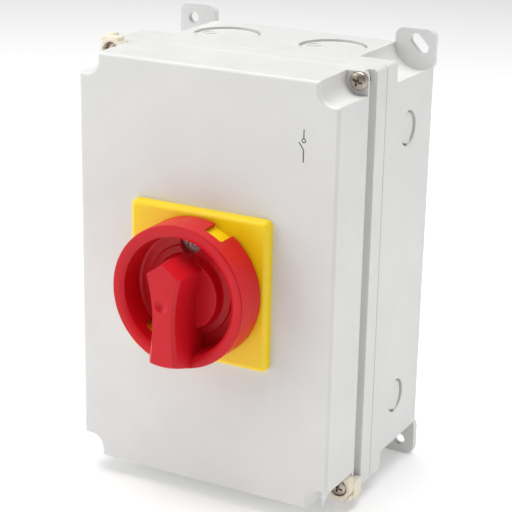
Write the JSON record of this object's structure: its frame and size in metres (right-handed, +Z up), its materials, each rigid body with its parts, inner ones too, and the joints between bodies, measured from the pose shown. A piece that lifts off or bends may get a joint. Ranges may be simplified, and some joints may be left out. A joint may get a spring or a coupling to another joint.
{
  "type": "enclosed rotary isolator switch",
  "caption": "Wall-mounted grey polycarbonate isolator box with screwed lid, red padlockable rotary handle on a yellow plate, and a stacked rotary switch inside.",
  "frame": {"origin": "centre of the flat back face that goes against the wall", "axes": "+X to the right seen from the front, +Y into the wall, +Z up; the handle turns about Y through the origin"},
  "size_m": [0.124, 0.12, 0.195],
  "materials": {
    "grey_polycarbonate": "fine satin moulded polycarbonate, light grey",
    "black_rubber": "soft black seal rubber",
    "brass": "turned brass",
    "zinc_steel": "bright zinc-plated steel",
    "spring_steel": "blued spring steel",
    "screw_steel": "nickel-plated cross-recess screw, darkened",
    "black_plastic": "black glass-filled nylon",
    "slate_plastic": "dark grey thermoset",
    "orange_plastic": "orange nylon latch",
    "copper": "copper contact strip",
    "cream_nylon": "natural cream nylon",
    "yellow_plastic": "satin moulded signal yellow",
    "white_plastic": "white marked disc",
    "red_plastic": "satin moulded signal red"
  },
  "bodies": {
    "base": {"base_housing": "grey_polycarbonate", "base_gasket": "black_rubber", "lid_screw_inserts": "brass", "din_rail": "zinc_steel", "din_rail_screws": "zinc_steel", "switch_foot": "black_plastic", "rail_latch": "orange_plastic", "contact_deck_1": "slate_plastic", "contact_deck_2": "slate_plastic", "contact_deck_3": "slate_plastic", "line_contacts": "copper", "load_contacts": "copper", "terminal_clamps": "zinc_steel", "terminal_screws": "zinc_steel", "switch_cover": "black_plastic", "detent_springs": "spring_steel", "switch_tie_screws": "zinc_steel", "earth_terminal": "brass", "earth_terminal_screws": "zinc_steel", "neutral_terminal": "brass", "neutral_terminal_screws": "zinc_steel"},
    "lid": {"lid_housing": "grey_polycarbonate", "lid_screws": "screw_steel", "screw_retainers": "cream_nylon", "front_plate": "yellow_plastic", "plate_gasket": "black_rubber", "plate_nut": "black_plastic", "indicator_ring": "white_plastic"},
    "handle_body": {"handle": "red_plastic", "hub_seal": "black_rubber", "hub_clip": "spring_steel", "coupling_sleeve": "black_plastic"},
    "rotor": {"drive_shaft": "zinc_steel", "rotor_drum": "cream_nylon", "moving_contacts": "copper", "detent_cam": "cream_nylon"}
  },
  "joints": [
    {"name": "lid_off", "type": "slide", "parent": "base", "child": "lid", "axis": [0, -1, 0], "range_m": [0, 0.06]},
    {"name": "handle_turn", "type": "hinge", "parent": "lid", "child": "handle_body", "pos_m": [0, -0.09, 0], "axis": [0, -1, 0], "range_deg": [0, 90]},
    {"name": "shaft_turn", "type": "hinge", "parent": "base", "child": "rotor", "pos_m": [0, -0.05, 0], "axis": [0, -1, 0], "range_deg": [0, 90]}
  ],
  "couplings": [
    {"joint": "shaft_turn", "follows": "handle_turn", "ratio": 1}
  ]
}
